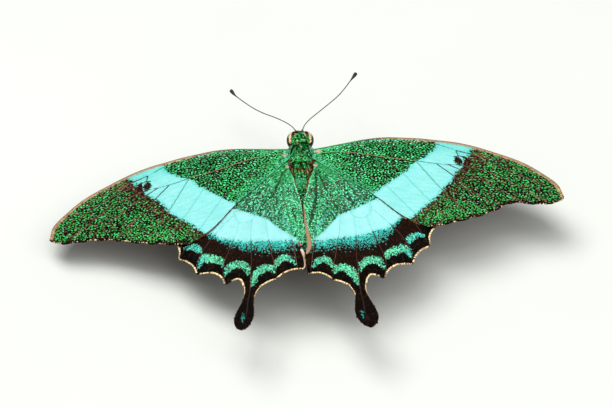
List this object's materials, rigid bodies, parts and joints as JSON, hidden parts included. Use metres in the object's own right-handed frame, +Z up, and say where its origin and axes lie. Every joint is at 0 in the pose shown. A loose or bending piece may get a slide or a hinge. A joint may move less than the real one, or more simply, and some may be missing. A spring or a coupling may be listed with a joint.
{
  "type": "swallowtail butterfly",
  "caption": "Emerald swallowtail butterfly at life size, wings spread flat, clubbed antennae forward, spoon-ended hindwing tails, standing on six feet.",
  "frame": {"origin": "middle of the bounding box on the floor the feet stand on", "axes": "+X to the butterfly's right wing tip, +Y forwards past the head, +Z up"},
  "size_m": [0.0936, 0.069, 0.0128],
  "materials": {
    "body_scales": "dense green scales and short dark hair",
    "wing_scales": "thin veined membrane under fine green and turquoise scales, faint silky sheen",
    "eyes": "dark glossy compound eyes",
    "chitin": "satin dark brown chitin"
  },
  "bodies": {
    "root": {"head": "body_scales", "neck": "body_scales", "thorax": "body_scales", "abdomen": "body_scales", "eye_left": "eyes", "antenna_left": "chitin", "palp_left": "body_scales", "forewing_left": "wing_scales", "hindwing_left": "wing_scales", "leg_fore_left": "chitin", "leg_mid_left": "chitin", "leg_hind_left": "chitin", "eye_right": "eyes", "antenna_right": "chitin", "palp_right": "body_scales", "forewing_right": "wing_scales", "hindwing_right": "wing_scales", "leg_fore_right": "chitin", "leg_mid_right": "chitin", "leg_hind_right": "chitin", "proboscis": "chitin"}
  },
  "joints": []
}
